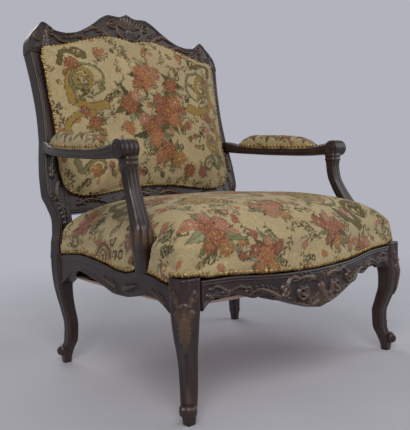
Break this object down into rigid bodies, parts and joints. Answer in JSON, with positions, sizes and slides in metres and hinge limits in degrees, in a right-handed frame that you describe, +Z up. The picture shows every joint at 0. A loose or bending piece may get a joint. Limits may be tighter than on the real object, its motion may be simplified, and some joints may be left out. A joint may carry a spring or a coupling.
{
  "type": "upholstered open armchair",
  "caption": "Large carved walnut open armchair with a serpentine frame, cabriole legs, scrolled arms and tapestry upholstery on the seat, back and arm pads.",
  "frame": {"origin": "on the floor below the middle of the whole chair in plan", "axes": "+Z up, -Y towards the front of the seat, +X to the right of someone who faces the chair"},
  "size_m": [0.754, 0.743, 0.9587],
  "materials": {
    "carved_walnut": "dark stained and waxed, worn lighter on high spots",
    "plain_beech": "plain, unfinished",
    "tapestry": "woven floral tapestry, matt",
    "hair_stuffing": "hair and calico, matt",
    "hessian": "coarse weave",
    "webbing": "jute, matt",
    "lining_cloth": "thin ecru cotton",
    "spring_steel": "dull wire"
  },
  "bodies": {
    "root": {"front_leg_right": "carved_walnut", "front_leg_left": "carved_walnut", "back_post_right": "carved_walnut", "back_post_left": "carved_walnut", "front_seat_rail": "carved_walnut", "side_seat_rail_right": "carved_walnut", "side_seat_rail_left": "carved_walnut", "crest_rail": "carved_walnut", "lower_back_rail": "carved_walnut", "arm_right": "carved_walnut", "arm_left": "carved_walnut", "arm_support_right": "carved_walnut", "arm_support_left": "carved_walnut", "back_seat_rail": "plain_beech", "corner_block_front_right": "plain_beech", "corner_block_front_left": "plain_beech", "corner_block_back_right": "plain_beech", "corner_block_back_left": "plain_beech", "joint_pegs": "plain_beech", "seat_cover": "tapestry", "back_cover": "tapestry", "arm_pad_cover_right": "tapestry", "arm_pad_cover_left": "tapestry", "seat_stuffing": "hair_stuffing", "back_stuffing": "hair_stuffing", "arm_pad_stuffing_right": "hair_stuffing", "arm_pad_stuffing_left": "hair_stuffing", "seat_hessian": "hessian", "back_hessian": "hessian", "seat_webbing_lengthwise": "webbing", "seat_webbing_crosswise": "webbing", "back_webbing": "webbing", "bottom_cloth": "lining_cloth", "outside_back_cloth": "lining_cloth", "seat_springs": "spring_steel"}
  },
  "joints": []
}
